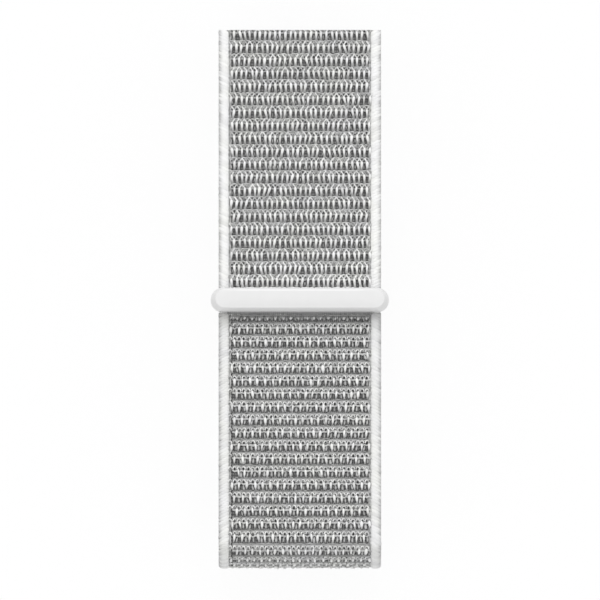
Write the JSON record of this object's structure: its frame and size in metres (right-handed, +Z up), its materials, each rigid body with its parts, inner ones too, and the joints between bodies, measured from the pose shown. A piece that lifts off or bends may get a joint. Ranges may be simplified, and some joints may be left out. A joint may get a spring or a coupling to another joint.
{
  "type": "nylon watch strap",
  "caption": "Closed hook-and-loop woven watch strap: a folded-back tab, a moulded clasp ring and slide-in case connectors with sprung latches.",
  "frame": {"origin": "on the surface that the strap lies on, below the middle of its outline seen from above, which is the middle of the clasp bar", "axes": "+X across the strap, +Y along it towards the closing tab's tip, +Z up out of the clasp side"},
  "size_m": [0.024, 0.0724, 0.0166],
  "materials": {
    "white_weave": "white woven nylon with knitted edges",
    "grey_pile": "grey and white nylon loop pile in rows",
    "hook_tape": "fine moulded hooks on a thin backing",
    "ring_plastic": "glossy white moulded nylon",
    "rod_plastic": "plain moulded rod",
    "steel": "plain stainless steel",
    "connector_metal": "fine blasted and anodised silver"
  },
  "bodies": {
    "long_strap": {"long_strap_web": "white_weave", "long_strap_outer_pile": "grey_pile", "long_strap_skin_pile": "grey_pile"},
    "closing_tab": {"closing_tab_web": "white_weave", "closing_tab_outer_pile": "grey_pile", "closing_tab_skin_pile": "grey_pile", "hook_patch": "hook_tape"},
    "ring": {"clasp_ring": "ring_plastic", "fold_bar": "steel"},
    "short_strap": {"short_strap_web": "white_weave", "short_strap_outer_pile": "grey_pile", "short_strap_skin_pile": "grey_pile", "anchor_rod": "rod_plastic"},
    "connector_long": {"long_connector": "connector_metal", "long_strap_pin": "steel", "long_pin_screw_left": "steel", "long_pin_screw_right": "steel", "long_latch_spring": "steel", "long_latch_cover": "connector_metal"},
    "latch_long": {"long_latch_plunger": "steel"},
    "connector_short": {"short_connector": "connector_metal", "short_strap_pin": "steel", "short_pin_screw_left": "steel", "short_pin_screw_right": "steel", "short_latch_spring": "steel", "short_latch_cover": "connector_metal"},
    "latch_short": {"short_latch_plunger": "steel"}
  },
  "joints": [
    {"name": "tab_peel", "type": "hinge", "parent": "long_strap", "child": "closing_tab", "pos_m": [0, 0.01365, 0.01395], "axis": [1, 0, 0], "range_deg": [0, 100]},
    {"name": "ring_swing", "type": "hinge", "parent": "long_strap", "child": "ring", "pos_m": [0, 0.0002, 0.01175], "axis": [1, 0, 0], "range_deg": [-5, 12]},
    {"name": "short_strap_swing", "type": "hinge", "parent": "ring", "child": "short_strap", "pos_m": [0, 0, 0.0152], "axis": [1, 0, 0], "range_deg": [-4, 10]},
    {"name": "long_connector_swing", "type": "hinge", "parent": "long_strap", "child": "connector_long", "pos_m": [0, 0.02045, 0.0016], "axis": [-1, 0, 0], "range_deg": [-15, 45]},
    {"name": "short_connector_swing", "type": "hinge", "parent": "short_strap", "child": "connector_short", "pos_m": [0, -0.02045, 0.0016], "axis": [1, 0, 0], "range_deg": [-15, 45]},
    {"name": "long_latch_press", "type": "slide", "parent": "connector_long", "child": "latch_long", "axis": [0, 0, -1], "range_m": [0, 0.0007], "stiffness_N_per_m": 400, "springref_m": -0.0003, "deforming": ["long_latch_spring"]},
    {"name": "short_latch_press", "type": "slide", "parent": "connector_short", "child": "latch_short", "axis": [0, 0, -1], "range_m": [0, 0.0007], "stiffness_N_per_m": 400, "springref_m": -0.0003, "deforming": ["short_latch_spring"]}
  ]
}
